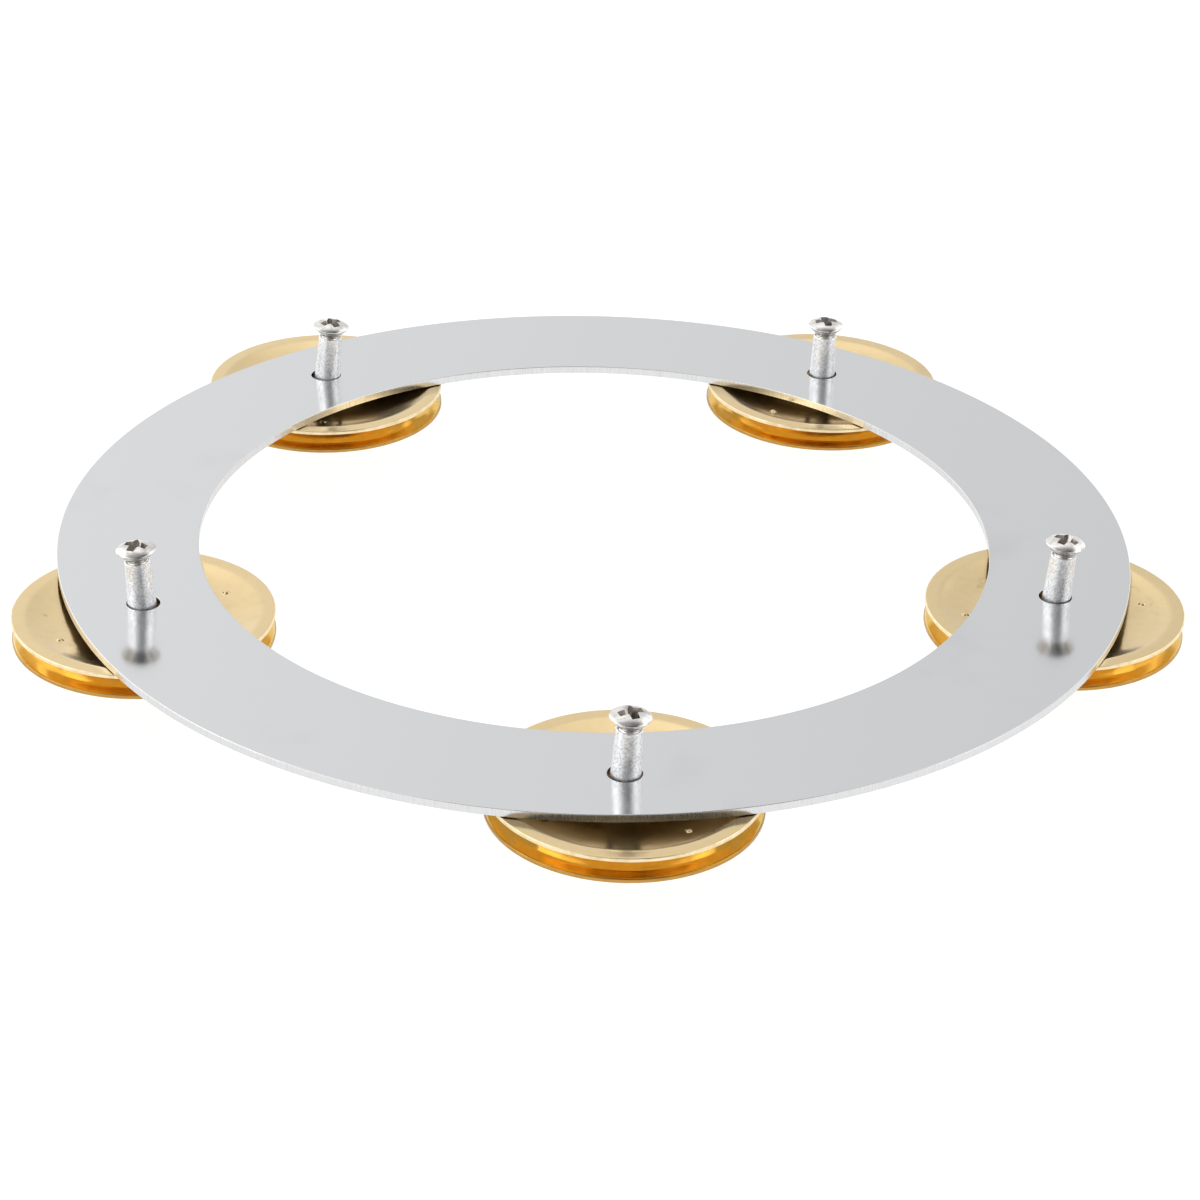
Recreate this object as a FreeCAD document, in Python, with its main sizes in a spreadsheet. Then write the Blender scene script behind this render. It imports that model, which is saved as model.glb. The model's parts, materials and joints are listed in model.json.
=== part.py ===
"""Tambourine ring: a flat steel ring with five loose posts, each carrying a back-to-back pair of jingles.

Millimetres. The origin is the centre of the ring's opening, half way through the plate.
+Z points up towards the screw heads. Post 1 stands at -Y, and the others follow anticlockwise.
"""
import FreeCAD, Part
import math
import os

import Sketcher

POST_COUNT = 5
FIRST_POST_ANGLE = -90.0
PIMPLE_COUNT = 4
# How far each pair of jingles has turned on its post, in degrees, post by post.
JINGLE_TURNS = (35.0, 6.0, 48.0, -1.0, 31.0)
# How far each screw has turned, in degrees, post by post.
SCREW_TURNS = (20.0, 52.0, 8.0, 33.0, 65.0)
# How far each post leans towards +X in its loose holes, in degrees, post by post.
POST_LEANS = (2.5, 3.5, 1.0, 4.5, -3.5)

SIZES = {
    # Ring plate, cut from flat steel sheet.
    "ring_outer_dia": 203.0,
    "ring_inner_dia": 150.0,
    "plate_thickness": 1.5,
    "post_circle_dia": 176.5,
    "post_hole_dia": 6.1,
    # Jingle, pressed from brass sheet: a flat rim, a steep shoulder that curves into a bowl, and a
    # flat seat round the hole. The corner is where shoulder and seat would meet without the curve.
    "jingle_dia": 48.0,
    "jingle_sheet": 0.8,
    "jingle_rise": 1.55,
    "rim_inner_dia": 42.8,
    "bowl_corner_dia": 34.3,
    "bowl_radius": 24.0,
    "rim_bend_radius": 1.5,
    "jingle_hole_dia": 6.6,
    # Punched pimples in the bowl: a bump on the hollow side and a dent behind it.
    "pimple_circle_dia": 34.0,
    "bump_radius": 0.6,
    "bump_height": 0.45,
    "dent_radius": 0.5,
    "dent_depth": 0.35,
    # Barrel: a tube with a flat head below, straight through the ring and tapered above it.
    "barrel_head_dia": 8.0,
    "barrel_head_height": 0.7,
    "barrel_dia": 5.3,
    "mouth_dia": 4.75,
    "mouth_height": 8.8,
    "mouth_round": 0.2,
    "bore_dia": 4.0,
    # Raised countersunk M4 x 12 screw with a cross recess.
    "shank_dia": 3.96,
    "shank_chamfer": 0.4,
    "screw_length": 12.0,
    "screw_head_dia": 7.3,
    "head_land": 0.2,
    "dome_height": 1.1,
    "neck_height": 0.45,
    "recess_span": 4.4,
    "recess_width": 1.1,
    "recess_depth": 1.8,
    # Play between the loose pieces at rest.
    "plate_gap": 0.15,
    "seat_gap": 0.1,
    "floor_gap": 0.4,
}

# Heights of each piece's own zero level, worked out from the sizes above.
PLATE_TOP = SIZES["plate_thickness"] / 2
JINGLE_HEIGHT = SIZES["jingle_rise"] + SIZES["jingle_sheet"]
UPPER_RIM_LEVEL = -PLATE_TOP - SIZES["plate_gap"]
LOWER_RIM_LEVEL = UPPER_RIM_LEVEL - 2 * JINGLE_HEIGHT - SIZES["seat_gap"]
BARREL_LEVEL = LOWER_RIM_LEVEL + SIZES["floor_gap"]
LEAN_LEVEL = LOWER_RIM_LEVEL + JINGLE_HEIGHT + SIZES["seat_gap"] / 2
MOUTH_LEVEL = PLATE_TOP + SIZES["mouth_height"]
CONE_HEIGHT = (SIZES["screw_head_dia"] - SIZES["shank_dia"]) / 2
LAND_LEVEL = MOUTH_LEVEL + SIZES["neck_height"] + CONE_HEIGHT + SIZES["head_land"]
SCREW_LEVEL = LAND_LEVEL - SIZES["screw_length"]
PLATE_LEVEL_ON_BARREL = PLATE_TOP - BARREL_LEVEL
BARREL_LENGTH = MOUTH_LEVEL - BARREL_LEVEL
SHOULDER_ANGLE = math.atan2(SIZES["jingle_rise"], (SIZES["rim_inner_dia"] - SIZES["bowl_corner_dia"]) / 2)
BOWL_START = SIZES["bowl_corner_dia"] / 2 - SIZES["bowl_radius"] * math.tan(SHOULDER_ANGLE / 2)
BOWL_REACH = SIZES["pimple_circle_dia"] / 2 - BOWL_START
BOWL_FALL = SIZES["bowl_radius"] - math.sqrt(SIZES["bowl_radius"] ** 2 - BOWL_REACH ** 2)
PIMPLE_LEVEL = SIZES["jingle_rise"] - BOWL_FALL
DOME_RADIUS = ((SIZES["screw_head_dia"] / 2) ** 2 + SIZES["dome_height"] ** 2) / (2 * SIZES["dome_height"])

UP = FreeCAD.Vector(0, 0, 1)
ALONG_X = FreeCAD.Vector(1, 0, 0)
ALONG_Y = FreeCAD.Vector(0, 1, 0)

doc = FreeCAD.newDocument("tambourine")
sheet = doc.addObject("Spreadsheet::Sheet", "sizes")
DERIVED = {
    "plate_level_on_barrel": PLATE_LEVEL_ON_BARREL,
    "barrel_length": BARREL_LENGTH,
    "dome_radius": DOME_RADIUS,
    "pimple_level": PIMPLE_LEVEL,
}
for row, (alias, size) in enumerate({**SIZES, **DERIVED}.items(), start=1):
    sheet.set(f"A{row}", alias)
    sheet.set(f"B{row}", str(size))
    sheet.setAlias(f"B{row}", alias)
doc.recompute()


def origin_feature(body, role):
    """A body's own origin plane or axis."""
    return next(feature for feature in body.Origin.OriginFeatures if feature.Role == role)


def new_body(name):
    body = doc.addObject("PartDesign::Body", name)
    body.Label = name
    return body


def new_sketch(body, name, plane):
    sketch = body.newObject("Sketcher::SketchObject", name)
    sketch.AttachmentSupport = (origin_feature(body, plane), [""])
    sketch.MapMode = "FlatFace"
    return sketch


def bind(sketch, constraint, expression):
    """Adds a dimension to a sketch and drives it from the sheet."""
    index = sketch.addConstraint(constraint)
    sketch.setExpression(f"Constraints[{index}]", expression)


def centred_circle(sketch, alias):
    """A circle round the sketch's origin whose diameter is a cell of the sheet."""
    centre = FreeCAD.Vector(0, 0, 0)
    index = sketch.addGeometry(Part.Circle(centre, UP, SIZES[alias] / 2), False)
    sketch.addConstraint(Sketcher.Constraint("Coincident", index, 3, -1, 1))
    bind(sketch, Sketcher.Constraint("Diameter", index, SIZES[alias]), f"sizes.{alias}")


def fix_start(sketch, edge, across, up):
    """Ties the start point of an edge to the sketch's origin by two expressions."""
    for kind, expression, axis in (("DistanceX", across, -2), ("DistanceY", up, -1)):
        if expression == "0":
            sketch.addConstraint(Sketcher.Constraint("PointOnObject", edge, 1, axis))
        else:
            bind(sketch, Sketcher.Constraint(kind, -1, 1, edge, 1, 1.0), expression)


def outline(sketch, corners):
    """Closed outline of straight edges through corners given as pairs of expressions."""
    count = len(corners)
    for edge in range(count):
        start = FreeCAD.Vector(1 + edge, 1 + edge * edge, 0)
        end = FreeCAD.Vector(2 + edge, 1 + (edge + 1) ** 2, 0)
        sketch.addGeometry(Part.LineSegment(start, end), False)
    for edge in range(count):
        sketch.addConstraint(Sketcher.Constraint("Coincident", edge, 2, (edge + 1) % count, 1))
    for edge, (across, up) in enumerate(corners):
        fix_start(sketch, edge, across, up)


def revolve(body, sketch):
    feature = body.newObject("PartDesign::Revolution", f"{body.Name}_revolution")
    feature.Profile = sketch
    feature.ReferenceAxis = (sketch, ["V_Axis"])
    feature.Angle = 360
    return feature


def polar_pattern(body, originals, count, angle=360):
    """Repeats features round the body's Z axis and makes the result the body's tip."""
    pattern = body.newObject("PartDesign::PolarPattern", f"{body.Name}_pattern")
    pattern.Originals = originals
    pattern.Axis = (origin_feature(body, "Z_Axis"), [""])
    pattern.Angle = angle
    pattern.Occurrences = count
    body.Tip = pattern
    return pattern


def require_cut(before, after):
    """Stops if a feature that should remove material removed none."""
    if after.Shape.Volume > before.Shape.Volume - 0.01:
        raise RuntimeError(f"{after.Name} cuts nothing")


def circular_edges(shape, radius):
    """Names of a shape's circular edges round Z with this radius."""
    names = []
    for number, edge in enumerate(shape.Edges, start=1):
        if not isinstance(edge.Curve, Part.Circle):
            continue
        on_axis = abs(edge.Curve.Center.x) + abs(edge.Curve.Center.y) < 1e-6
        if on_axis and abs(edge.Curve.Radius - radius) < 1e-6:
            names.append(f"Edge{number}")
    return names


def round_edges(body, base, name, dia_alias, radius_alias):
    """Fillets the circular edges round Z that have this diameter in the sheet."""
    rounded = body.newObject("PartDesign::Fillet", name)
    rounded.Base = (base, circular_edges(base.Shape, SIZES[dia_alias] / 2))
    rounded.setExpression("Radius", f"sizes.{radius_alias}")
    doc.recompute()
    return rounded


def place(body, angle, level, turn=0.0, flipped=False, lean=0.0):
    """Stands a body on the post circle, turned about its own axis, and flipped over or leant if asked.

    A lean tips it towards +X about the point of its axis that lies between the two jingles.
    """
    spot = FreeCAD.Rotation(UP, angle).multVec(ALONG_X) * (SIZES["post_circle_dia"] / 2)
    rotation = FreeCAD.Rotation(UP, turn)
    if flipped:
        rotation = rotation.multiply(FreeCAD.Rotation(ALONG_X, 180))
    upright = FreeCAD.Placement(FreeCAD.Vector(spot.x, spot.y, level), rotation)
    pivot = FreeCAD.Vector(spot.x, spot.y, LEAN_LEVEL)
    tip = FreeCAD.Placement(FreeCAD.Vector(0, 0, 0), FreeCAD.Rotation(ALONG_Y, lean), pivot)
    body.Placement = tip.multiply(upright)


def make_ring_plate():
    body = new_body("ring_plate")
    blank = new_sketch(body, "ring_outline", "XY_Plane")
    centred_circle(blank, "ring_outer_dia")
    centred_circle(blank, "ring_inner_dia")
    pad = body.newObject("PartDesign::Pad", "ring_pad")
    pad.Profile = blank
    pad.Midplane = True
    pad.setExpression("Length", "sizes.plate_thickness")
    hole = new_sketch(body, "post_hole", "XY_Plane")
    centre = FreeCAD.Vector(0, -SIZES["post_circle_dia"] / 2, 0)
    hole.addGeometry(Part.Circle(centre, UP, SIZES["post_hole_dia"] / 2), False)
    hole.addConstraint(Sketcher.Constraint("PointOnObject", 0, 3, -2))
    bind(hole, Sketcher.Constraint("DistanceY", 0, 3, -1, 1, -centre.y), "sizes.post_circle_dia / 2")
    bind(hole, Sketcher.Constraint("Diameter", 0, SIZES["post_hole_dia"]), "sizes.post_hole_dia")
    doc.recompute()
    pocket = body.newObject("PartDesign::Pocket", "post_hole_pocket")
    pocket.Profile = hole
    pocket.Midplane = True
    pocket.setExpression("Length", "2 * sizes.plate_thickness")
    doc.recompute()
    require_cut(pad, pocket)
    polar_pattern(body, [pocket], POST_COUNT)
    doc.recompute()
    return body


def add_primitive(body, kind, name, sizes, offset):
    """A PartDesign primitive on the body's XY plane, with its sizes and offset given as expressions."""
    feature = body.newObject(f"PartDesign::{kind}", name)
    feature.AttachmentSupport = (origin_feature(body, "XY_Plane"), [""])
    feature.MapMode = "FlatFace"
    for prop, expression in sizes.items():
        feature.setExpression(prop, expression)
    for axis, expression in zip("xyz", offset):
        feature.setExpression(f"AttachmentOffset.Base.{axis}", expression)
    doc.recompute()
    return feature


def make_jingle(name, angle, level, turn, flipped):
    """A jingle's own Z runs from the plane of its rim's face up to its seat."""
    body = new_body(name)
    section = new_sketch(body, f"{name}_section", "XZ_Plane")
    rim_edge = "sizes.jingle_dia / 2"
    rim_inner = "sizes.rim_inner_dia / 2"
    corner = "sizes.bowl_corner_dia / 2"
    hole = "sizes.jingle_hole_dia / 2"
    outline(section, [
        (rim_edge, "0"),
        (rim_edge, "sizes.jingle_sheet"),
        (rim_inner, "sizes.jingle_sheet"),
        (corner, "sizes.jingle_rise + sizes.jingle_sheet"),
        (hole, "sizes.jingle_rise + sizes.jingle_sheet"),
        (hole, "sizes.jingle_rise"),
        (corner, "sizes.jingle_rise"),
        (rim_inner, "0"),
    ])
    disc = revolve(body, section)
    doc.recompute()
    bowl = round_edges(body, disc, f"{name}_bowl", "bowl_corner_dia", "bowl_radius")
    round_edges(body, bowl, f"{name}_rim_bend", "rim_inner_dia", "rim_bend_radius")
    spot = "sizes.pimple_circle_dia / 2"
    bump_centre = "sizes.pimple_level + sizes.bump_radius - sizes.bump_height"
    dent_centre = "sizes.pimple_level + sizes.jingle_sheet + sizes.dent_radius - sizes.dent_depth"
    bump = add_primitive(body, "AdditiveSphere", f"{name}_bump", {"Radius": "sizes.bump_radius"},
                         (spot, "0", bump_centre))
    dent = add_primitive(body, "SubtractiveSphere", f"{name}_dent", {"Radius": "sizes.dent_radius"},
                         (spot, "0", dent_centre))
    require_cut(bump, dent)
    polar_pattern(body, [bump, dent], PIMPLE_COUNT)
    doc.recompute()
    place(body, angle, level, turn, flipped)
    return body


def make_barrel(name, angle, lean):
    """A barrel's own Z runs up from the underside of its head. Its bore is blind at the head."""
    body = new_body(name)
    section = new_sketch(body, f"{name}_section", "XZ_Plane")
    outline(section, [
        ("0", "0"),
        ("sizes.barrel_head_dia / 2", "0"),
        ("sizes.barrel_head_dia / 2", "sizes.barrel_head_height"),
        ("sizes.barrel_dia / 2", "sizes.barrel_head_height"),
        ("sizes.barrel_dia / 2", "sizes.plate_level_on_barrel"),
        ("sizes.mouth_dia / 2", "sizes.barrel_length"),
        ("sizes.bore_dia / 2", "sizes.barrel_length"),
        ("sizes.bore_dia / 2", "sizes.barrel_head_height"),
        ("0", "sizes.barrel_head_height"),
    ])
    tube = revolve(body, section)
    doc.recompute()
    round_edges(body, tube, f"{name}_mouth", "mouth_dia", "mouth_round")
    place(body, angle, BARREL_LEVEL, lean=lean)
    return body


def make_screw(name, angle, turn, lean):
    """A screw's own Z runs up from the end of its shank. Its length is measured to the head's edge."""
    body = new_body(name)
    section = new_sketch(body, f"{name}_section", "XZ_Plane")
    land = "sizes.screw_length"
    rim = f"{land} - sizes.head_land"
    cone = "(sizes.screw_head_dia - sizes.shank_dia) / 2"
    outline(section, [
        ("0", "0"),
        ("sizes.shank_dia / 2 - sizes.shank_chamfer", "0"),
        ("sizes.shank_dia / 2", "sizes.shank_chamfer"),
        ("sizes.shank_dia / 2", f"{rim} - {cone}"),
        ("sizes.screw_head_dia / 2", rim),
        ("sizes.screw_head_dia / 2", land),
        ("0", land),
    ])
    revolve(body, section)
    doc.recompute()
    dome = add_primitive(
        body, "AdditiveSphere", f"{name}_dome",
        {"Radius": "sizes.dome_radius", "Angle1": "asin(1 - sizes.dome_height / sizes.dome_radius)"},
        ("0", "0", f"{land} + sizes.dome_height - sizes.dome_radius"))
    slot = add_primitive(
        body, "SubtractiveBox", f"{name}_slot",
        {"Length": "sizes.recess_span", "Width": "sizes.recess_width", "Height": "sizes.recess_depth"},
        ("-sizes.recess_span / 2", "-sizes.recess_width / 2",
         f"{land} + sizes.dome_height - sizes.recess_depth"))
    require_cut(dome, slot)
    polar_pattern(body, [slot], 2, 90)
    doc.recompute()
    place(body, angle, SCREW_LEVEL, turn, lean=lean)
    return body


def check_document():
    """Stops if any object failed to compute or any piece isn't one valid solid."""
    for item in doc.Objects:
        if "Invalid" in item.State or "Error" in item.State:
            raise RuntimeError(f"{item.Label} failed: {item.State}")
    for piece in pieces:
        shape = piece.Shape
        if shape.isNull() or not shape.isValid() or len(shape.Solids) != 1:
            raise RuntimeError(f"{piece.Label} is not one valid solid")


pieces = [make_ring_plate()]
for post in range(POST_COUNT):
    number = post + 1
    post_angle = FIRST_POST_ANGLE + post * 360 / POST_COUNT
    jingle_turn = JINGLE_TURNS[post]
    lean = POST_LEANS[post]
    pieces.append(make_barrel(f"barrel_{number}", post_angle, lean))
    pieces.append(make_screw(f"screw_{number}", post_angle, SCREW_TURNS[post], lean))
    pieces.append(make_jingle(f"upper_jingle_{number}", post_angle, UPPER_RIM_LEVEL, jingle_turn, True))
    pieces.append(make_jingle(f"lower_jingle_{number}", post_angle, LOWER_RIM_LEVEL, jingle_turn, False))

doc.recompute()
check_document()
os.makedirs("parts", exist_ok=True)
for piece in pieces:
    piece.Shape.exportStep(f"parts/{piece.Label}.step")
    print(f"{piece.Label:16s} {piece.Shape.Volume:9.1f} mm3")
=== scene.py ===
"""The jingle ring's looks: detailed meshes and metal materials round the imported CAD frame.

Blender units are metres. Sizes below are in millimetres where a name ends in _mm.
"""
import json
import math

import bmesh
import bpy
from mathutils import Matrix, Vector, noise


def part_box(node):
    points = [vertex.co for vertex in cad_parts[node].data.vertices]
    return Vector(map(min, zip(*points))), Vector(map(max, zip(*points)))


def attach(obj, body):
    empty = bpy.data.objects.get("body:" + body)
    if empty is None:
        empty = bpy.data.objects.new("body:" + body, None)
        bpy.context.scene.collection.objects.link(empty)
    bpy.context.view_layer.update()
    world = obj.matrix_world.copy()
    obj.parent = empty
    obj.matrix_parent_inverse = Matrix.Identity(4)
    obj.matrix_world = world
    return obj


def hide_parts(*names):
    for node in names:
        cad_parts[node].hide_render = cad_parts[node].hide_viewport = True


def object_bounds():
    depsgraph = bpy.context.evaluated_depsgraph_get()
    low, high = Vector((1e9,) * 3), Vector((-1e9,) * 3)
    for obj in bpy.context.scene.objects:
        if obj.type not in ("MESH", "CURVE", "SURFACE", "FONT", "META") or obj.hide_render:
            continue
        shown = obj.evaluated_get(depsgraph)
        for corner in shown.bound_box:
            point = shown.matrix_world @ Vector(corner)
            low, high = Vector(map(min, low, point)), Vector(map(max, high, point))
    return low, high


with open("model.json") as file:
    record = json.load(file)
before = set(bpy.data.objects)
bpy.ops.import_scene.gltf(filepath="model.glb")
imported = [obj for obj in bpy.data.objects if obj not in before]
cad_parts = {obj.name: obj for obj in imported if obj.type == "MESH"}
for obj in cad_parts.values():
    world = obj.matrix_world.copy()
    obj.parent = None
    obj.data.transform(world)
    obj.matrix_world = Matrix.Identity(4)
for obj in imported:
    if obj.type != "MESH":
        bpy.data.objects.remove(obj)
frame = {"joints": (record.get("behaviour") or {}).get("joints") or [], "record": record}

MM = 0.001
TAU = 2 * math.pi
CAD_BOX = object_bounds()

# Camera: where it stands round the object, in degrees and metres, and how it is framed.
CAMERA_AZIMUTH = -4.12
CAMERA_ELEVATION = 28.53
CAMERA_ROLL = 1.56
CAMERA_DISTANCE = 0.6503
CAMERA_LENS_MM = 102.3
CAMERA_AIM_RIGHT_MM = 1.01
CAMERA_AIM_UP_MM = -13.15

# Jingle: pressed sheet with a flat rim, a bowl that curves up from it, and a flat seat.
SHEET_MM = 0.8
JINGLE_EDGE_ROUND_MM = 0.2
RIM_INNER_MM = 21.4
BOWL_START_MM = 12.9
BOWL_RADIUS_MM = 24.0
JINGLE_HOLE_MM = 3.3
PIMPLE_CIRCLE_MM = 17.0
PIMPLE_COUNT = 4
BUMP_HEIGHT_MM = 0.42
BUMP_RADIUS_MM = 0.75
DENT_DEPTH_MM = 0.32
DENT_RADIUS_MM = 0.6
# How soft the bend between the rim and the bowl is.
BEND_SOFTNESS_MM = 0.16
# How far the pressing strays from its true shape, in long waves and short ones, and at its cut edge.
LONG_WAVES_MM = 0.085
SHORT_WAVES_MM = 0.012
RAGGED_EDGE_MM = 0.03
# How far each pair has turned on its post, in degrees.
JINGLE_TURNS = (35.0, 6.0, 48.0, -1.0, 31.0)

# Barrel and screw.
BARREL_HEAD_MM = 0.7
BARREL_HEAD_RADIUS_MM = 4.0
BARREL_LENGTH_MM = 14.85
BARREL_SHOULDER_MM = 6.05
# How far up the post's axis each piece starts, from the point that the post's spin joint names.
BARREL_START_MM = -2.0
SCREW_START_MM = 3.17
BARREL_RADIUS_MM = 2.65
MOUTH_RADIUS_MM = 2.375
BORE_RADIUS_MM = 2.0
SCREW_HEAD_RADIUS_MM = 3.65
SHANK_RADIUS_MM = 1.98
THREAD_DEPTH_MM = 0.36
THREAD_PITCH_MM = 0.7
SCREW_LENGTH_MM = 12.0
HEAD_LAND_MM = 0.2
DOME_HEIGHT_MM = 1.1
# How far each screw has turned, in degrees.
SCREW_TURNS = (20.0, 52.0, 8.0, 33.0, 65.0)

# Plate: its post holes and the round of its edges.
POST_COUNT = 5
HOLE_RADIUS_MM = 3.05
LOWER_EDGE_MM = 0.06
TEAR_MM = 0.012

# Places of the materials in the list of each kind of piece.
PLATE_TOP, PLATE_WALLS, PLATE_UNDERSIDE = range(3)
HOLLOW_SIDE, GROOVE_SIDE, CUT_EDGE = range(3)
SCREW_OUTSIDE, SCREW_RECESS = range(2)

# The floor lies this far under the resting jingles, just past the bottom of their drop.
FLOOR_DROP_MM = 9.8
FLOOR_HALF_WIDTH = 12.0


def box_centre(node):
    low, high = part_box(node)
    return (Vector(low) + Vector(high)) / 2


def post_place(number, start_mm):
    """How a post leans, and the point on its axis this far up from its spin joint's point."""
    joint = next(j for j in frame["joints"] if j["name"] == f"post_spin_{number}")
    axis = Vector(joint["axis"]).normalized()
    lean = Vector((0, 0, 1)).rotation_difference(axis).to_matrix().to_4x4()
    return lean, Matrix.Translation(Vector(joint["pos_m"]) + axis * start_mm * MM)


# ---------------------------------------------------------------- mesh tools

def add_piece(name, mesh, body, replaced, materials, place=Matrix()):
    piece = bpy.data.objects.new(name, mesh)
    bpy.context.scene.collection.objects.link(piece)
    for material in materials:
        mesh.materials.append(material)
    piece.matrix_world = place
    bpy.context.view_layer.update()
    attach(piece, body)
    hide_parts(replaced)
    return piece


def finish_mesh(bm, name, sharp_angle):
    """Turns a bmesh into a smooth-shaded mesh whose edges stay sharp past an angle."""
    bmesh.ops.recalc_face_normals(bm, faces=bm.faces)
    mesh = bpy.data.meshes.new(name)
    for face in bm.faces:
        face.smooth = True
    for edge in bm.edges:
        edge.smooth = len(edge.link_faces) == 2 and edge.calc_face_angle(0) < math.radians(sharp_angle)
    bm.to_mesh(mesh)
    bm.free()
    return mesh


def bridge(bm, first, second, material=0):
    """Makes faces between two closed rings of verts, or between a ring and a single vert."""
    count = max(len(first), len(second))
    for i in range(count):
        after = (i + 1) % count
        if len(first) == 1:
            corners = (first[0], second[i], second[after])
        elif len(second) == 1:
            corners = (first[i], second[0], first[after])
        else:
            corners = (first[i], second[i], second[after], first[after])
        bm.faces.new(corners).material_index = material


def lathe(bm, outline, angles, shape):
    """Turns an outline of (radius, height) pairs in metres round Z.

    shape takes (radius, height, angle) and returns the moved radius and height.
    """
    rings = []
    for radius, height in outline:
        if radius == 0:
            rings.append([bm.verts.new((0, 0, height))])
            continue
        ring = []
        for angle in angles:
            r, z = shape(radius, height, angle)
            ring.append(bm.verts.new((r * math.cos(angle), r * math.sin(angle), z)))
        rings.append(ring)
    for first, second in zip(rings, rings[1:]):
        bridge(bm, first, second)
    return rings


def even_angles(count):
    return [i * TAU / count for i in range(count)]


def arc_points(centre, radius, start, end, steps):
    """Points along an arc in the (radius, height) plane, angles in degrees."""
    points = []
    for i in range(steps + 1):
        a = math.radians(start + (end - start) * i / steps)
        points.append((centre[0] + radius * math.cos(a), centre[1] + radius * math.sin(a)))
    return points


# ---------------------------------------------------------------- material tools

def new_material(name, color, metallic, roughness):
    """A Principled material with uniform starting values; returns it with its tree and shader."""
    material = bpy.data.materials.new(name)
    material.use_nodes = True
    tree = material.node_tree
    shader = tree.nodes["Principled BSDF"]
    shader.inputs["Base Color"].default_value = (*color, 1)
    shader.inputs["Metallic"].default_value = metallic
    shader.inputs["Roughness"].default_value = roughness
    return material, tree, shader


def add_node(tree, kind, sources=None, **settings):
    """Adds a node, sets its properties, and fills its inputs with values or with other sockets."""
    node = tree.nodes.new(kind)
    for key, value in settings.items():
        setattr(node, key, value)
    for key, value in (sources or {}).items():
        if isinstance(value, bpy.types.NodeSocket):
            tree.links.new(value, node.inputs[key])
        else:
            node.inputs[key].default_value = value
    return node


def object_coords(tree, stretch=(1, 1, 1), shift=0.0):
    """The piece's own coordinates in metres, stretched, and shifted by a different amount on each piece."""
    coords = add_node(tree, "ShaderNodeTexCoord")
    info = add_node(tree, "ShaderNodeObjectInfo")
    offset = add_node(tree, "ShaderNodeMath", {0: info.outputs["Random"], 1: shift}, operation="MULTIPLY")
    moved = add_node(tree, "ShaderNodeVectorMath",
                     {0: coords.outputs["Object"], 1: offset.outputs[0]}, operation="ADD")
    scaled = add_node(tree, "ShaderNodeVectorMath",
                      {0: moved.outputs[0], 1: stretch}, operation="MULTIPLY")
    return scaled.outputs[0]


def noise_value(tree, coords, per_metre, detail, rough=0.5):
    node = add_node(tree, "ShaderNodeTexNoise",
                    {"Vector": coords, "Scale": per_metre, "Detail": detail, "Roughness": rough})
    return node.outputs["Fac"]


def remap(tree, value, low, high, to_low=0.0, to_high=1.0):
    """Takes the range low..high smoothly to to_low..to_high, clamped."""
    node = add_node(tree, "ShaderNodeMapRange",
                    {"Value": value, "From Min": low, "From Max": high, "To Min": to_low, "To Max": to_high},
                    interpolation_type="SMOOTHSTEP")
    return node.outputs["Result"]


def blend_colors(tree, factor, first, second):
    node = add_node(tree, "ShaderNodeMix", data_type="RGBA")
    tree.links.new(factor, node.inputs["Factor"])
    for key, color in (("A", first), ("B", second)):
        socket = next(i for i in node.inputs if i.name == key and i.type == "RGBA")
        if isinstance(color, bpy.types.NodeSocket):
            tree.links.new(color, socket)
        else:
            socket.default_value = (*color, 1)
    return next(o for o in node.outputs if o.type == "RGBA")


def calculate(tree, operation, first, second):
    return add_node(tree, "ShaderNodeMath", {0: first, 1: second}, operation=operation).outputs[0]


def bump(tree, height, strength, depth_mm, before=None):
    """A bump of this depth; before is the normal of a bump underneath it."""
    sources = {"Height": height, "Strength": strength, "Distance": depth_mm * MM}
    if before is not None:
        sources["Normal"] = before
    return add_node(tree, "ShaderNodeBump", sources).outputs["Normal"]


def polar_coords(tree):
    """Radius from the piece's own Z axis in metres, and the angle round it in radians."""
    coords = add_node(tree, "ShaderNodeTexCoord")
    parts = add_node(tree, "ShaderNodeSeparateXYZ", {0: coords.outputs["Object"]})
    x, y, z = parts.outputs[:3]
    radius = calculate(tree, "SQRT", calculate(
        tree, "ADD", calculate(tree, "MULTIPLY", x, x), calculate(tree, "MULTIPLY", y, y)), 0.0)
    angle = calculate(tree, "ARCTAN2", y, x)
    return radius, angle, z


# ---------------------------------------------------------------- materials

STEEL = (0.655, 0.665, 0.675)
STEEL_DULL = (0.60, 0.61, 0.62)
STEEL_TORN = (0.64, 0.64, 0.64)
STEEL_BRIGHT = (0.72, 0.72, 0.73)
SPECK = (0.12, 0.11, 0.10)
BRASS_OPEN = (0.77, 0.60, 0.335)
BRASS_OPEN_DULL = (0.75, 0.58, 0.32)
BRASS_GOLD = (0.88, 0.70, 0.36)
BRASS_GOLD_DULL = (0.84, 0.65, 0.31)
BRASS_CUT = (0.90, 0.76, 0.50)
# Dark orange-brown for the lower jingles' cut edge: painted shade, a dark floor reflection painted onto the
# rim.
BRASS_EDGE_SHADE = (0.52, 0.29, 0.07)
BRASS_EDGE_SHADE_DULL = (0.44, 0.24, 0.06)
BRASS_STAIN = (0.46, 0.31, 0.15)
ALUMINIUM = (0.88, 0.88, 0.89)
ALUMINIUM_PIT = (0.66, 0.66, 0.67)
ALUMINIUM_PEAK = (0.96, 0.96, 0.96)
NICKEL = (0.74, 0.73, 0.71)
NICKEL_SMEAR = (0.54, 0.51, 0.48)
# Darker nickel for the screw heads' cross recess: painted shade in the recess.
NICKEL_SHADED_RECESS = (0.52, 0.495, 0.465)
NICKEL_SHADED_RECESS_SMEAR = (0.42, 0.39, 0.36)


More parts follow.
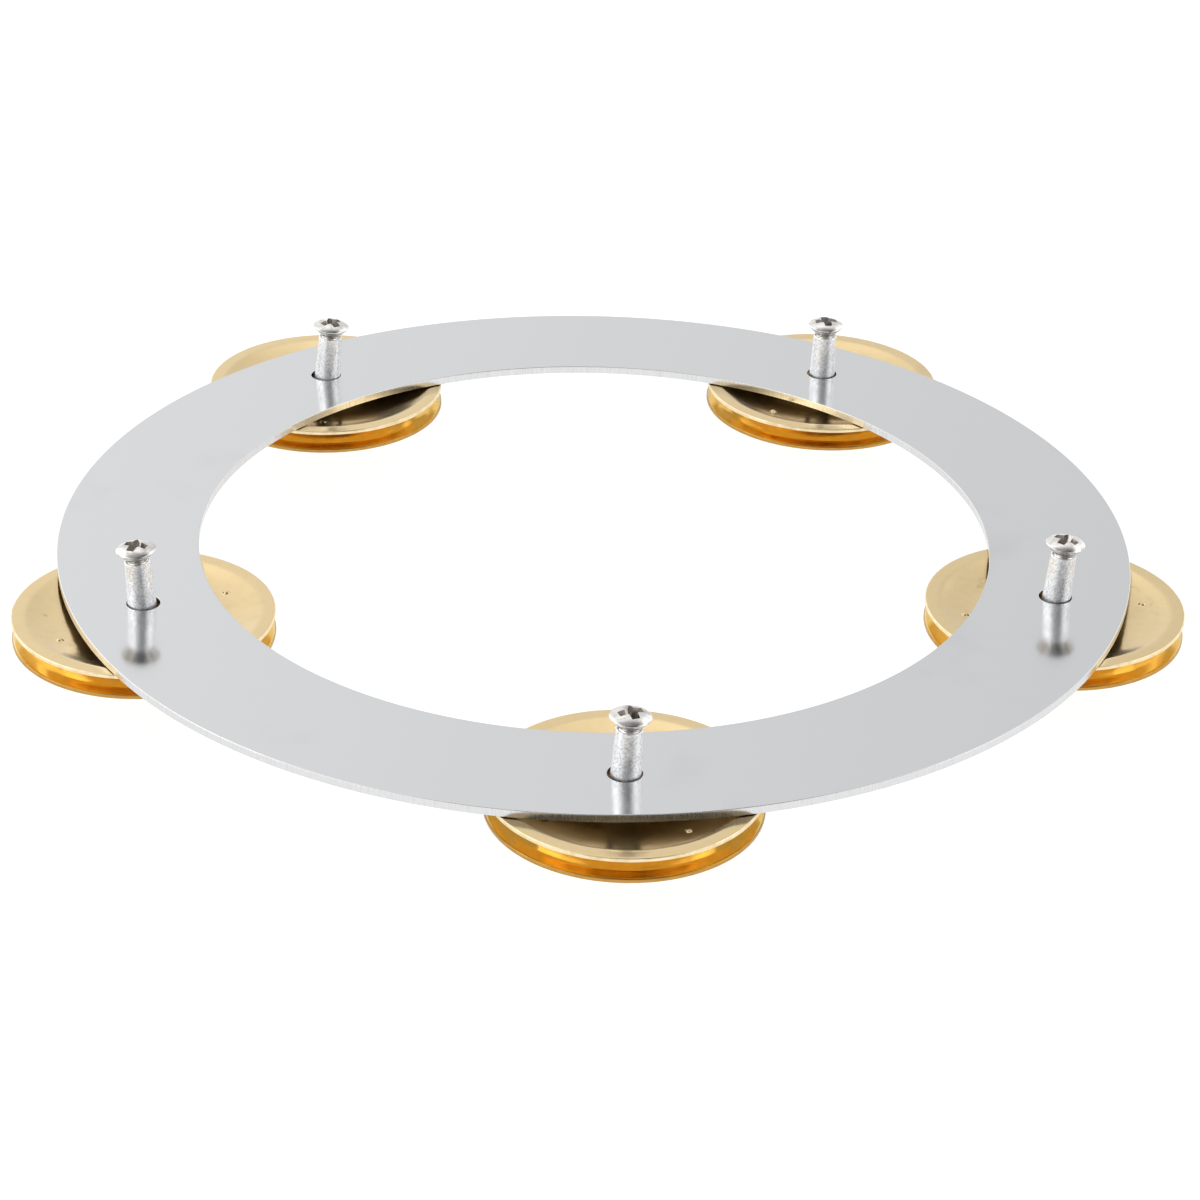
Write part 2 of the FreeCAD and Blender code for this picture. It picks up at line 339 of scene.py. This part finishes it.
def make_polished_steel(name, rough_low, rough_high):
    """Sheet steel: faint cloudy stains, rolling grain along X and a few dark specks."""
    material, tree, shader = new_material(name, STEEL, 1.0, rough_low)
    coords = object_coords(tree)
    clouds = noise_value(tree, coords, 22, 4.0, 0.6)
    stain = remap(tree, clouds, 0.55, 0.75)
    specks = add_node(tree, "ShaderNodeTexVoronoi", {"Vector": coords, "Scale": 55.0})
    speck = remap(tree, specks.outputs["Distance"], 0.010, 0.022, 1.0, 0.0)
    speck_here = remap(tree, noise_value(tree, coords, 9, 1.0), 0.56, 0.60)
    speck_mask = calculate(tree, "MULTIPLY", speck, speck_here)
    tinted = blend_colors(tree, stain, STEEL, STEEL_DULL)
    color = blend_colors(tree, speck_mask, tinted, SPECK)
    tree.links.new(color, shader.inputs["Base Color"])
    grain = noise_value(tree, object_coords(tree, (60, 1800, 60)), 1.0, 2.0)
    rough = remap(tree, calculate(tree, "ADD", calculate(tree, "MULTIPLY", clouds, 0.7),
                                  calculate(tree, "MULTIPLY", grain, 0.3)), 0.3, 0.7, rough_low, rough_high)
    tree.links.new(rough, shader.inputs["Roughness"])
    waves = noise_value(tree, coords, 30, 1.0)
    normal = bump(tree, waves, 0.05, 0.6)
    normal = bump(tree, grain, 0.03, 0.02, normal)
    tree.links.new(normal, shader.inputs["Normal"])
    return material


def make_sheared_edge():
    """The plate's cut walls: vertical tear marks, rougher and paler than the faces."""
    material, tree, shader = new_material("sheared_edge", STEEL, 1.0, 0.34)
    radius, angle, height = polar_coords(tree)
    streak_coords = add_node(tree, "ShaderNodeCombineXYZ", {
        0: calculate(tree, "MULTIPLY", angle, 420.0),
        1: calculate(tree, "MULTIPLY", height, 260.0),
        2: calculate(tree, "MULTIPLY", radius, 100.0)}).outputs[0]
    streaks = noise_value(tree, streak_coords, 1.0, 3.0, 0.6)
    color = blend_colors(tree, remap(tree, streaks, 0.3, 0.7), STEEL_TORN, STEEL_BRIGHT)
    tree.links.new(color, shader.inputs["Base Color"])
    tree.links.new(remap(tree, streaks, 0.3, 0.7, 0.30, 0.18), shader.inputs["Roughness"])
    tree.links.new(bump(tree, streaks, 0.15, 0.04), shader.inputs["Normal"])
    return material


def make_brass(name, color, dull, rough_low, rough_high, stains, spin, grain):
    """Pressed brass, scuffed round its pimples.

    stains is how strong its cloudy stains are, spin the strength of its fine concentric lines and
    grain that of its texture.
    """
    material, tree, shader = new_material(name, color, 1.0, rough_low)
    coords = object_coords(tree, shift=3.0)
    radius, angle, height = polar_coords(tree)
    clouds = noise_value(tree, coords, 70, 4.0, 0.6)
    patches = remap(tree, clouds, 0.62 - 0.12 * stains, 0.80 - 0.10 * stains, 0.0, stains)
    fine = noise_value(tree, coords, 600, 3.0, 0.6)
    worn = blend_colors(tree, remap(tree, fine, 0.35, 0.75), color, dull)
    off_circle = calculate(tree, "ABSOLUTE", calculate(tree, "SUBTRACT", radius, PIMPLE_CIRCLE_MM * MM), 0.0)
    near_pimples = remap(tree, off_circle, 0.0008, 0.0028, 1.0, 0.0)
    scuffs = remap(tree, noise_value(tree, coords, 240, 4.0, 0.65), 0.56, 0.72, 0.0, 0.55)
    patches = calculate(tree, "MAXIMUM", patches, calculate(tree, "MULTIPLY", scuffs, near_pimples))
    tree.links.new(blend_colors(tree, patches, worn, BRASS_STAIN), shader.inputs["Base Color"])
    lines_coords = add_node(tree, "ShaderNodeCombineXYZ", {
        0: calculate(tree, "MULTIPLY", radius, 4200.0),
        1: calculate(tree, "MULTIPLY", angle, 0.8),
        2: calculate(tree, "MULTIPLY", height, 4200.0)}).outputs[0]
    lines = noise_value(tree, lines_coords, 1.0, 2.0, 0.6)
    rough = remap(tree, calculate(tree, "ADD", calculate(tree, "MULTIPLY", clouds, 0.6),
                                  calculate(tree, "MULTIPLY", lines, 0.4)), 0.3, 0.7, rough_low, rough_high)
    tree.links.new(rough, shader.inputs["Roughness"])
    normal = bump(tree, lines, spin, 0.02)
    normal = bump(tree, fine, grain, 0.03, normal)
    tree.links.new(normal, shader.inputs["Normal"])
    return material


def make_blasted_aluminium():
    """Bead-blasted aluminium: a coarse sparkling grain over a soft sheen."""
    material, tree, shader = new_material("blasted_aluminium", ALUMINIUM, 1.0, 0.34)
    coords = object_coords(tree, shift=3.0)
    pits = noise_value(tree, coords, 2600, 3.0, 0.7)
    patches = noise_value(tree, coords, 500, 2.0)
    color = blend_colors(tree, remap(tree, pits, 0.38, 0.60), ALUMINIUM_PIT, ALUMINIUM_PEAK)
    tree.links.new(color, shader.inputs["Base Color"])
    tree.links.new(remap(tree, patches, 0.3, 0.7, 0.34, 0.48), shader.inputs["Roughness"])
    normal = bump(tree, pits, 0.4, 0.06)
    tree.links.new(bump(tree, patches, 0.2, 0.08, normal), shader.inputs["Normal"])
    return material


def make_nickel_plate(name, color, smear):
    """Bright nickel plate, warm grey, with a few soft scratches and a slightly orange-peeled surface."""
    material, tree, shader = new_material(name, color, 1.0, 0.14)
    coords = object_coords(tree, shift=3.0)
    smears = noise_value(tree, coords, 900, 3.0, 0.6)
    tree.links.new(blend_colors(tree, remap(tree, smears, 0.4, 0.7), color, smear),
                   shader.inputs["Base Color"])
    tree.links.new(remap(tree, smears, 0.3, 0.7, 0.10, 0.26), shader.inputs["Roughness"])
    tree.links.new(bump(tree, smears, 0.12, 0.05), shader.inputs["Normal"])
    return material


polished_steel = make_polished_steel("polished_steel", 0.10, 0.15)
satin_steel = make_polished_steel("satin_steel", 0.30, 0.40)
sheared_edge = make_sheared_edge()
brass_open = make_brass("brass_open_face", BRASS_OPEN, BRASS_OPEN_DULL, 0.15, 0.21, 0.2, 0.06, 0.02)
brass_groove = make_brass("brass_groove_face", BRASS_GOLD, BRASS_GOLD_DULL, 0.08, 0.16, 0.12, 0.30, 0.03)
brass_edge = make_brass("brass_cut_edge", BRASS_CUT, BRASS_OPEN, 0.26, 0.40, 0.3, 0.10, 0.35)
# The lower jingles' cut edge is painted darker: painted shade where the rim stands on the floor.
brass_edge_painted_shade = make_brass("brass_edge_painted_shade", BRASS_EDGE_SHADE, BRASS_EDGE_SHADE_DULL,
                               0.20, 0.40, 0.3, 0.10, 0.35)
blasted_aluminium = make_blasted_aluminium()
nickel_plate = make_nickel_plate("nickel_plate", NICKEL, NICKEL_SMEAR)
# The recess material is a darker copy of the nickel: painted shade inside the cross.
nickel_painted_recess_shade = make_nickel_plate("nickel_painted_recess_shade", NICKEL_SHADED_RECESS, NICKEL_SHADED_RECESS_SMEAR)


# ---------------------------------------------------------------- ring plate

def plate_wall(radius, outward, top, bottom, softness_mm):
    """Outline of a cut wall from the top face to the bottom face: a rolled top edge and a crisp lower one.

    outward is 1 where the metal lies inside the wall's radius and -1 where it lies outside.
    """
    soft = softness_mm * MM
    wall = []
    for step in range(5):
        a = math.radians(90 - 22.5 * step)
        wall.append((radius - outward * soft * (1 - math.cos(a)), top - soft * (1 - math.sin(a))))
    lower_edge = LOWER_EDGE_MM * MM
    wall.append((radius, (top + bottom) / 2))
    wall.append((radius, bottom + lower_edge))
    wall.append((radius - outward * lower_edge, bottom))
    return wall


def make_ring_plate():
    low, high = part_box("ring_plate")
    outer = (high[0] - low[0]) / 2
    inner = frame["record"]["mounts"][0]["dims"]["r_mm"] * MM
    top, bottom = high[2], low[2]
    bm = bmesh.new()
    # Each wall's centre, radius, side of the metal, softness of its top edge in mm, and steps round it.
    walls = [(Vector((0, 0)), outer, 1, 0.16, 1440), (Vector((0, 0)), inner, -1, 0.12, 1080)]
    for number in range(1, POST_COUNT + 1):
        centre = box_centre(f"upper_jingle_{number}").to_2d()
        walls.append((centre, HOLE_RADIUS_MM * MM, -1, 0.10, 72))
    top_edges, bottom_edges = [], []
    for centre, radius, outward, softness, count in walls:
        def torn(r, z, angle):
            """Cut metal is a little uneven round its edge."""
            spot = Vector((math.cos(angle) * radius, math.sin(angle) * radius, z)) * 900
            return r + outward * TEAR_MM * MM * (noise.noise(spot) - 1), z
        outline = plate_wall(radius, outward, top, bottom, softness)
        rings = lathe(bm, outline, even_angles(count), shape=torn)
        for ring in rings:
            for vert in ring:
                vert.co.x += centre.x
                vert.co.y += centre.y
        for ring, edges in ((rings[0], top_edges), (rings[-1], bottom_edges)):
            edges += [bm.edges.get((ring[i - 1], ring[i])) for i in range(count)]
    for face in bm.faces:
        face.material_index = PLATE_WALLS
    for edges, material in ((top_edges, PLATE_TOP), (bottom_edges, PLATE_UNDERSIDE)):
        filled = bmesh.ops.triangle_fill(bm, use_beauty=True, edges=edges)
        for item in filled["geom"]:
            if isinstance(item, bmesh.types.BMFace):
                item.material_index = material
    mesh = finish_mesh(bm, "ring_plate_mesh", 20)
    for polygon in mesh.polygons:
        polygon.use_smooth = polygon.material_index == PLATE_WALLS
    add_piece("ring_plate_detail", mesh, "ring", "ring_plate",
              (polished_steel, sheared_edge, satin_steel))


# ---------------------------------------------------------------- jingles

def dish_height_mm(radius_mm, rise_mm):
    """Height of the pressed sheet above its rim: a flat seat, a bowl and a soft bend into the rim."""
    reach = max(0.0, radius_mm - BOWL_START_MM)
    bowl = rise_mm - BOWL_RADIUS_MM + math.sqrt(BOWL_RADIUS_MM ** 2 - reach ** 2)
    return (bowl + math.hypot(bowl, BEND_SOFTNESS_MM)) / 2


def jingle_radii(rim_edge_mm):
    """Radii from the hole to the rim, close together at the bends and at the pimples."""
    last = rim_edge_mm - JINGLE_EDGE_ROUND_MM
    spans = ((JINGLE_HOLE_MM, 11.0, 9), (11.0, 15.9, 12), (15.9, 18.1, 18), (18.1, 20.6, 8),
             (20.6, 22.2, 16), (22.2, last, 5))
    radii = []
    for start, end, steps in spans:
        radii += [start + (end - start) * i / steps for i in range(steps)]
    return radii + [last]


def jingle_angles():
    """Angles round the jingle, close together where the pimples are."""
    fine, coarse = math.radians(0.55), TAU / 180
    reach = math.radians(4.4)
    angles = []
    for i in range(180):
        angle = i * coarse
        offset = (angle + TAU / 8) % (TAU / PIMPLE_COUNT) - TAU / 8
        if abs(offset) > reach:
            angles.append(angle)
    for k in range(PIMPLE_COUNT):
        angles += [k * TAU / PIMPLE_COUNT + i * fine for i in range(-7, 8)]
    return sorted(a % TAU for a in angles)


def dome(distance, radius):
    """A smooth bump: 1 in the middle, 0 at the radius and beyond."""
    if distance >= radius:
        return 0.0
    return math.cos(math.pi / 2 * distance / radius) ** 1.4


def pimple_distance(x, y):
    """Millimetres from a point on the jingle to the nearest pimple's centre."""
    angle = math.atan2(y, x)
    nearest = round(angle / (TAU / PIMPLE_COUNT)) * TAU / PIMPLE_COUNT
    return math.hypot(x - PIMPLE_CIRCLE_MM * math.cos(nearest), y - PIMPLE_CIRCLE_MM * math.sin(nearest))


def make_jingle_mesh(name, seed, radius_mm, rise_mm):
    """A jingle standing on its rim at height 0 with its hollow side down, with its own small dents."""
    bm = bmesh.new()
    angles = jingle_angles()
    radii = jingle_radii(radius_mm)
    shift = Vector((seed * 17.3, seed * 5.1, seed * 9.7))

    def height_mm(r, angle, hollow_side):
        x, y = r * math.cos(angle), r * math.sin(angle)
        z = dish_height_mm(r, rise_mm)
        press = noise.noise(Vector((x, y, 0)) * 0.16 + shift) * LONG_WAVES_MM
        press += noise.noise(Vector((x, y, 3)) * 0.5 + shift) * SHORT_WAVES_MM
        inside = min(1.0, max(0.0, (RIM_INNER_MM + 0.8 - r) / 3)) * min(1.0, (r - JINGLE_HOLE_MM) / 6)
        z += press * inside
        away = pimple_distance(x, y)
        if hollow_side:
            return z - BUMP_HEIGHT_MM * dome(away, BUMP_RADIUS_MM)
        return z + SHEET_MM - DENT_DEPTH_MM * dome(away, DENT_RADIUS_MM)

    edge_round = JINGLE_EDGE_ROUND_MM
    edge_centre = radius_mm - edge_round
    edge = []
    for step in range(1, 5):
        a = math.radians(-90 + 22.5 * step)
        edge.append((edge_centre + edge_round * math.cos(a), edge_round + edge_round * math.sin(a)))
    for step in range(4):
        a = math.radians(22.5 * step)
        edge.append((edge_centre + edge_round * math.cos(a),
                     SHEET_MM - edge_round + edge_round * math.sin(a)))

    def make_vert(r, angle, z):
        return bm.verts.new(Vector((r * math.cos(angle), r * math.sin(angle), z)) * MM)

    rings = [[make_vert(r, a, height_mm(r, a, True)) for a in angles] for r in radii]
    first_edge_ring = len(rings) - 1
    for r, z in edge:
        ring = []
        for a in angles:
            ragged = RAGGED_EDGE_MM * (noise.noise(Vector((math.cos(a), math.sin(a), z)) * 40 + shift) - 1)
            ring.append(make_vert(r + ragged, a, z))
        rings.append(ring)
    last_edge_ring = len(rings)
    rings += [[make_vert(r, a, height_mm(r, a, False)) for a in angles] for r in reversed(radii)]
    # The last ring is joined to the first one by the wall of the hole, which is cut like the rim's edge.
    for index in range(len(rings)):
        if first_edge_ring <= index < last_edge_ring or index == len(rings) - 1:
            material = CUT_EDGE
        else:
            material = HOLLOW_SIDE if index < first_edge_ring else GROOVE_SIDE
        bridge(bm, rings[index], rings[(index + 1) % len(rings)], material)
    return finish_mesh(bm, name, 50)


def make_jingles():
    for number in range(1, POST_COUNT + 1):
        for side, flipped in (("upper", True), ("lower", False)):
            node = f"{side}_jingle_{number}"
            low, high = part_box(node)
            radius_mm = (high[0] - low[0]) / 2 / MM
            rise_mm = (high[2] - low[2]) / MM - SHEET_MM
            mesh = make_jingle_mesh(f"{node}_mesh", number + 10 * flipped, radius_mm, rise_mm)
            centre = box_centre(node)
            turn = Matrix.Rotation(math.radians(JINGLE_TURNS[number - 1]), 4, "Z")
            if flipped:
                turn = turn @ Matrix.Rotation(math.pi, 4, "X")
            level = high[2] if flipped else low[2]
            mesh.transform(turn)
            # Lower jingles take the darker edge material: painted shade under their rims.
            edge = brass_edge if flipped else brass_edge_painted_shade
            add_piece(f"{node}_detail", mesh, node, node,
                      (brass_open, brass_groove, edge), Matrix.Translation((centre.x, centre.y, level)))


# ---------------------------------------------------------------- barrels

def make_barrel(number):
    node = f"barrel_{number}"
    head, head_top = BARREL_HEAD_RADIUS_MM * MM, BARREL_HEAD_MM * MM
    length, shoulder = BARREL_LENGTH_MM * MM, BARREL_SHOULDER_MM * MM
    tube, mouth, bore = BARREL_RADIUS_MM * MM, MOUTH_RADIUS_MM * MM, BORE_RADIUS_MM * MM
    soft = 0.2 * MM
    outline = [(0, 0.05 * MM), (head * 0.5, 0.02 * MM)]
    outline += arc_points((head - soft, soft), soft, -90, 0, 4)
    outline += arc_points((head - soft, head_top - soft), soft, 0, 90, 4)
    outline += arc_points((tube + soft, head_top + soft), soft, -90, -180, 3)
    outline += [(tube, head_top + (shoulder - head_top) * i / 6) for i in range(1, 7)]
    outline += [(tube + (mouth - tube) * i / 14, shoulder + (length - soft - shoulder) * i / 14)
                for i in range(1, 14)]
    outline += arc_points((mouth - soft, length - soft), soft, 0, 90, 5)
    outline += [(bore + 0.06 * MM, length), (bore, length - 0.1 * MM)]
    outline += [(bore, head_top + 0.4 * MM), (bore * 0.6, head_top), (0, head_top)]
    bm = bmesh.new()

    def hand_made(r, z, angle):
        """The tube is drawn, so it is a little uneven along its length."""
        spot = Vector((math.cos(angle) * 1.3, math.sin(angle) * 1.3, z / MM * 0.5 + number * 7))
        return r + 0.02 * MM * (noise.noise(spot) - 0.6) * (r > bore * 1.01), z

    lathe(bm, outline, even_angles(72), shape=hand_made)
    mesh = finish_mesh(bm, f"{node}_mesh", 50)
    lean, place = post_place(number, BARREL_START_MM)
    mesh.transform(lean)
    add_piece(f"{node}_detail", mesh, f"post_{number}", node,
              (blasted_aluminium,), place)


# ---------------------------------------------------------------- screws

def cross_cutter(top):
    """A tapered cross, wider at the top, to cut the recess with. top is the dome's top, in metres."""
    # Height from the dome's top, half the cross's span, and half its arms' width, all in mm.
    levels = ((0.4, 2.62, 0.86), (-0.25, 2.34, 0.74), (-1.7, 1.35, 0.44), (-2.2, 0.60, 0.36))
    bm = bmesh.new()
    rings = []
    for height, span, width in levels:
        corners = []
        for quarter in range(4):
            turn = Matrix.Rotation(quarter * TAU / 4, 2)
            fillet = width * 1.15
            for x, y in ((fillet, width), (span, width), (span, -width)):
                corners.append(turn @ Vector((x, -y)))
        ring = [bm.verts.new((c.x * MM, c.y * MM, top + height * MM)) for c in corners]
        rings.append(ring)
    for lower, upper in zip(rings[1:], rings):
        bridge(bm, lower, upper)
    bm.faces.new(rings[0])
    tip = bm.verts.new((0, 0, top - 2.5 * MM))
    bridge(bm, [tip], rings[-1])
    bmesh.ops.recalc_face_normals(bm, faces=bm.faces)
    mesh = bpy.data.meshes.new("recess_cutter")
    bm.to_mesh(mesh)
    bm.free()
    return bpy.data.objects.new("recess_cutter", mesh)


def make_screw_mesh():
    """A raised countersunk screw, threaded along its shank, with its end at height 0."""
    head, shank = SCREW_HEAD_RADIUS_MM, SHANK_RADIUS_MM
    land = SCREW_LENGTH_MM
    cone_start = land - HEAD_LAND_MM - (head - shank)
    dome_radius = (head ** 2 + DOME_HEIGHT_MM ** 2) / (2 * DOME_HEIGHT_MM)
    outline = [(0, 0), (shank - 0.5, 0)]
    thread_steps = int((cone_start - 0.15) / 0.07)
    outline += [(shank, 0.15 + i * 0.07) for i in range(thread_steps)]
    cone_end = land - HEAD_LAND_MM
    outline += [(shank, cone_start), (head - 0.08, cone_end - 0.06), (head, cone_end + 0.02)]
    outline += [(head, land - 0.05), (head - 0.05, land + 0.012)]
    for i in range(1, 15):
        r = (head - 0.05) * (1 - i / 15)
        outline.append((r, land + DOME_HEIGHT_MM - dome_radius + math.sqrt(dome_radius ** 2 - r ** 2)))
    outline.append((0, land + DOME_HEIGHT_MM))
    outline = [(r * MM, z * MM) for r, z in outline]

    def thread(r, z, angle):
        """Cuts the thread's groove into the shank and fades it out under the head and at the end."""
        if abs(r - shank * MM) > 1e-9:
            return r, z
        turn = (z / MM / THREAD_PITCH_MM - angle / TAU) % 1.0
        groove = 1 - abs(2 * turn - 1)
        fade = min(1.0, max(0.0, (cone_start - 0.1 - z / MM) / 0.3)) * min(1.0, z / MM / 0.6 + 0.3)
        return r - THREAD_DEPTH_MM * MM * groove * fade, z

    bm = bmesh.new()
    lathe(bm, outline, even_angles(64), shape=thread)
    mesh = finish_mesh(bm, "screw_blank", 30)
    blank = bpy.data.objects.new("screw_blank", mesh)
    cutter = cross_cutter((land + DOME_HEIGHT_MM) * MM)
    for item in (blank, cutter):
        bpy.context.scene.collection.objects.link(item)
    cut = blank.modifiers.new("recess", "BOOLEAN")
    cut.operation = "DIFFERENCE"
    cut.solver = "EXACT"
    cut.object = cutter
    edges = blank.modifiers.new("edges", "BEVEL")
    edges.width = 0.05 * MM
    edges.segments = 2
    edges.limit_method = "ANGLE"
    edges.angle_limit = math.radians(38)
    bpy.context.view_layer.update()
    depsgraph = bpy.context.evaluated_depsgraph_get()
    made = bpy.data.meshes.new_from_object(blank.evaluated_get(depsgraph), depsgraph=depsgraph)
    made.name = "screw_mesh"
    ball = Vector((0, 0, (land + DOME_HEIGHT_MM - dome_radius) * MM))
    # Faces inside the cross recess take the darker nickel, which is painted shade.
    for face in made.polygons:
        above = face.center.z > (land - 1.7) * MM and face.center.to_2d().length < 2.9 * MM
        under_dome = (face.center - ball).length < (dome_radius - 0.06) * MM
        face.material_index = SCREW_RECESS if above and under_dome else SCREW_OUTSIDE
    for item in (blank, cutter):
        bpy.data.objects.remove(item)
    return made


def make_screws():
    shape = make_screw_mesh()
    for number in range(1, POST_COUNT + 1):
        node = f"screw_{number}"
        lean, place = post_place(number, SCREW_START_MM)
        turn = Matrix.Rotation(math.radians(SCREW_TURNS[number - 1]), 4, "Z")
        mesh = shape.copy()
        mesh.name = f"{node}_mesh"
        mesh.transform(lean @ turn)
        add_piece(f"{node}_detail", mesh, f"post_{number}", node,
                  (nickel_plate, nickel_painted_recess_shade), place)


# ---------------------------------------------------------------- floor, light and camera

def make_floor():
    """A plain pale floor, below the jingles even at the bottom of their drop, and clear from underneath."""
    half = FLOOR_HALF_WIDTH
    level = CAD_BOX[0].z - FLOOR_DROP_MM * MM
    bm = bmesh.new()
    corners = [(-half, -half), (half, -half), (half, half), (-half, half)]
    bm.faces.new([bm.verts.new((x, y, level)) for x, y in corners])
    mesh = bpy.data.meshes.new("floor_mesh")
    bm.to_mesh(mesh)
    bm.free()
    floor = bpy.data.objects.new("floor", mesh)
    bpy.context.scene.collection.objects.link(floor)
    material, tree, shader = new_material("pale_floor", (0.30, 0.30, 0.30), 0.0, 0.9)
    shader.inputs["Specular IOR Level"].default_value = 0.1
    shader.inputs["Emission Color"].default_value = (1, 1, 1, 1)
    shader.inputs["Emission Strength"].default_value = 0.86
    clear = add_node(tree, "ShaderNodeBsdfTransparent")
    side = add_node(tree, "ShaderNodeNewGeometry")
    mixed = add_node(tree, "ShaderNodeMixShader",
                     {0: side.outputs["Backfacing"], 1: shader.outputs[0], 2: clear.outputs[0]})
    tree.links.new(mixed.outputs[0], tree.nodes["Material Output"].inputs["Surface"])
    mesh.materials.append(material)


def make_world():
    """A white surround: brightest high at the back and slantwise at the sides, dim overhead and in front."""
    world = bpy.data.worlds.new("studio")
    bpy.context.scene.world = world
    world.use_nodes = True
    tree = world.node_tree
    background = tree.nodes["Background"]
    coords = add_node(tree, "ShaderNodeTexCoord")
    parts = add_node(tree, "ShaderNodeSeparateXYZ", {0: coords.outputs["Generated"]})
    x, y, z = parts.outputs[:3]
    sideways = calculate(tree, "ABSOLUTE", x, 0.0)
    sides = calculate(tree, "MULTIPLY", remap(tree, sideways, 0.40, 0.66, 0.0, 0.80),
                      remap(tree, sideways, 0.72, 0.88, 1.0, 0.0))
    high = remap(tree, z, 0.60, 0.95, -0.01, 0.30)
    zenith = calculate(tree, "MULTIPLY", remap(tree, z, 0.60, 0.90), remap(tree, y, 0.05, 0.42, 0.95, 0.0))
    overhead = calculate(tree, "SUBTRACT", high, zenith)
    front = remap(tree, calculate(tree, "MULTIPLY", y, -1.0), 0.2, 0.8, 0.0, 0.55)
    across = remap(tree, x, -0.45, 0.45, 0.15, -0.17)
    total = calculate(tree, "ADD", calculate(tree, "ADD", sides, overhead), across)
    strength = calculate(tree, "ADD", calculate(tree, "SUBTRACT", total, front), 1.0)
    tree.links.new(strength, background.inputs["Strength"])
    background.inputs["Color"].default_value = (1, 1, 1, 1)


def make_soft_box(name, position):
    """A weak square area light that faces the object."""
    light = bpy.data.lights.new(name, "AREA")
    light.size = 0.5
    light.energy = 0.8
    lamp = bpy.data.objects.new(name, light)
    bpy.context.scene.collection.objects.link(lamp)
    lamp.location = position
    lamp.rotation_euler = (-Vector(position)).to_track_quat("-Z", "Y").to_euler()


def make_camera():
    """Stands at its azimuth and elevation, rolled a little, aimed just below the ring's centre."""
    data = bpy.data.cameras.new("camera")
    data.sensor_width = 36
    data.lens = CAMERA_LENS_MM
    data.clip_start = 0.05
    camera = bpy.data.objects.new("camera", data)
    bpy.context.scene.collection.objects.link(camera)
    elevation = math.radians(CAMERA_ELEVATION)
    back = Vector((0, -math.cos(elevation), math.sin(elevation)))
    level_right = Vector((1, 0, 0))
    level_up = back.cross(level_right)
    roll = math.radians(CAMERA_ROLL)
    right = level_right * math.cos(roll) + level_up * math.sin(roll)
    up = level_up * math.cos(roll) - level_right * math.sin(roll)
    aim = right * CAMERA_AIM_RIGHT_MM * MM + up * CAMERA_AIM_UP_MM * MM
    aim.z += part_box("ring_plate")[1][2]
    place = Matrix((
        (right.x, up.x, back.x, 0), (right.y, up.y, back.y, 0), (right.z, up.z, back.z, 0), (0, 0, 0, 1)))
    place.translation = aim + back * CAMERA_DISTANCE
    camera.matrix_world = Matrix.Rotation(math.radians(CAMERA_AZIMUTH), 4, "Z") @ place
    bpy.context.scene.camera = camera


make_ring_plate()
make_jingles()
for number in range(1, POST_COUNT + 1):
    make_barrel(number)
make_screws()
make_floor()
make_world()
make_soft_box("left_soft_box", (-0.9, -0.15, 0.55))
make_soft_box("right_soft_box", (0.9, -0.15, 0.55))
make_camera()

scene = bpy.context.scene
scene.view_settings.view_transform = "Standard"
scene.cycles.max_bounces = 24
scene.cycles.glossy_bounces = 20
